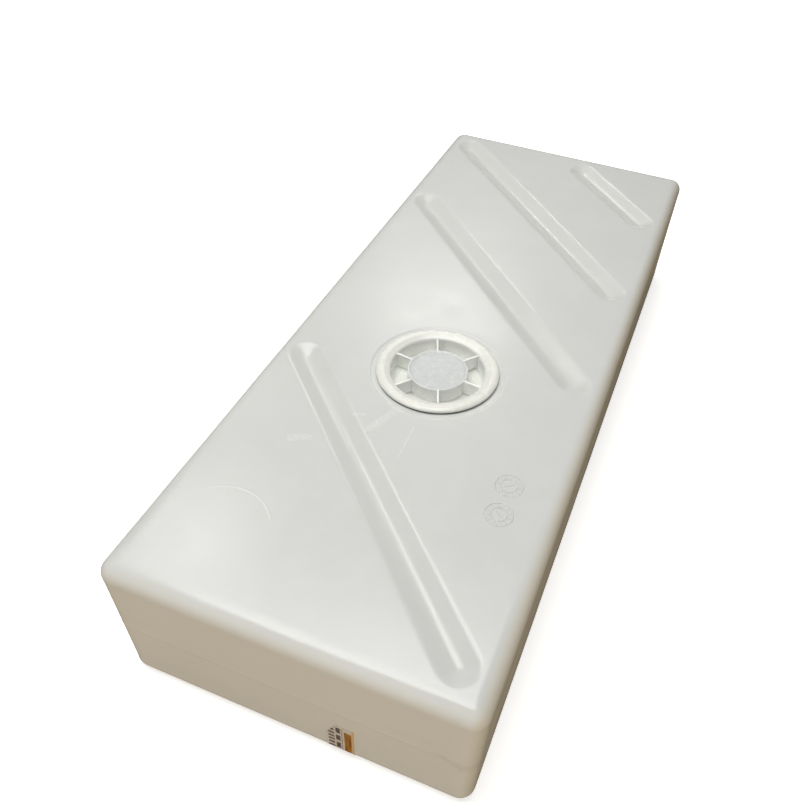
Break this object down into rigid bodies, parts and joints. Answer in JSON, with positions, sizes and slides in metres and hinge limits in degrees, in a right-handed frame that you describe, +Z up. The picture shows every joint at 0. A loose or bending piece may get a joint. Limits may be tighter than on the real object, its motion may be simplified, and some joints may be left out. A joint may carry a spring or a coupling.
{
  "type": "flat water expansion tank",
  "caption": "Flat rounded white plastic water tank with diagonal stiffening grooves, a screw-in inspection lid with finger webs, and hose connections on one end.",
  "frame": {"origin": "centre of the tank's underside, on the surface that it rests on", "axes": "+Z up; +Y along the tank's length towards the end with the hose connections; +X across its width"},
  "size_m": [0.4, 1.0938, 0.1978],
  "materials": {
    "tank_polyethylene": "satin, faintly translucent",
    "lid_plastic": "satin",
    "gasket_rubber": "matt",
    "label_paper": "matt printed",
    "fitting_nylon": "satin",
    "cock_metal": "nickel plated",
    "seat_plastic": "smooth",
    "ball_chrome": "polished",
    "insert_brass": "machined",
    "lever_paint": "gloss enamel",
    "nut_steel": "zinc plated"
  },
  "bodies": {
    "tank": {"tank_shell": "tank_polyethylene", "hatch_collar": "tank_polyethylene", "label": "label_paper", "inlet_spigot": "fitting_nylon", "vent_tail": "fitting_nylon", "outlet_tail": "fitting_nylon", "drain_body": "cock_metal", "drain_tail": "cock_metal", "drain_seats": "seat_plastic", "inlet_insert": "insert_brass", "inlet_washer": "gasket_rubber", "vent_insert": "insert_brass", "vent_washer": "gasket_rubber", "outlet_insert": "insert_brass", "outlet_washer": "gasket_rubber", "drain_insert": "insert_brass", "drain_washer": "gasket_rubber"},
    "gasket": {"hatch_gasket": "gasket_rubber"},
    "lid": {"hatch_lid": "lid_plastic"},
    "drain_handle": {"drain_ball": "ball_chrome", "drain_stem": "insert_brass", "drain_lever": "lever_paint", "lever_nut": "nut_steel"}
  },
  "joints": [
    {"name": "lid_lift", "type": "slide", "parent": "tank", "child": "gasket", "axis": [0, 0, 1], "range_m": [0, 0.03]},
    {"name": "lid_turn", "type": "hinge", "parent": "gasket", "child": "lid", "pos_m": [0, -0.11, 0.194], "axis": [0, 0, 1], "range_deg": [0, 1800]},
    {"name": "drain_turn", "type": "hinge", "parent": "tank", "child": "drain_handle", "pos_m": [0.135, 0.532, 0.032], "axis": [0, 0, -1], "range_deg": [0, 90]}
  ],
  "couplings": [
    {"joint": "lid_lift", "follows": "lid_turn", "m_per_rad": 0.00095493}
  ]
}
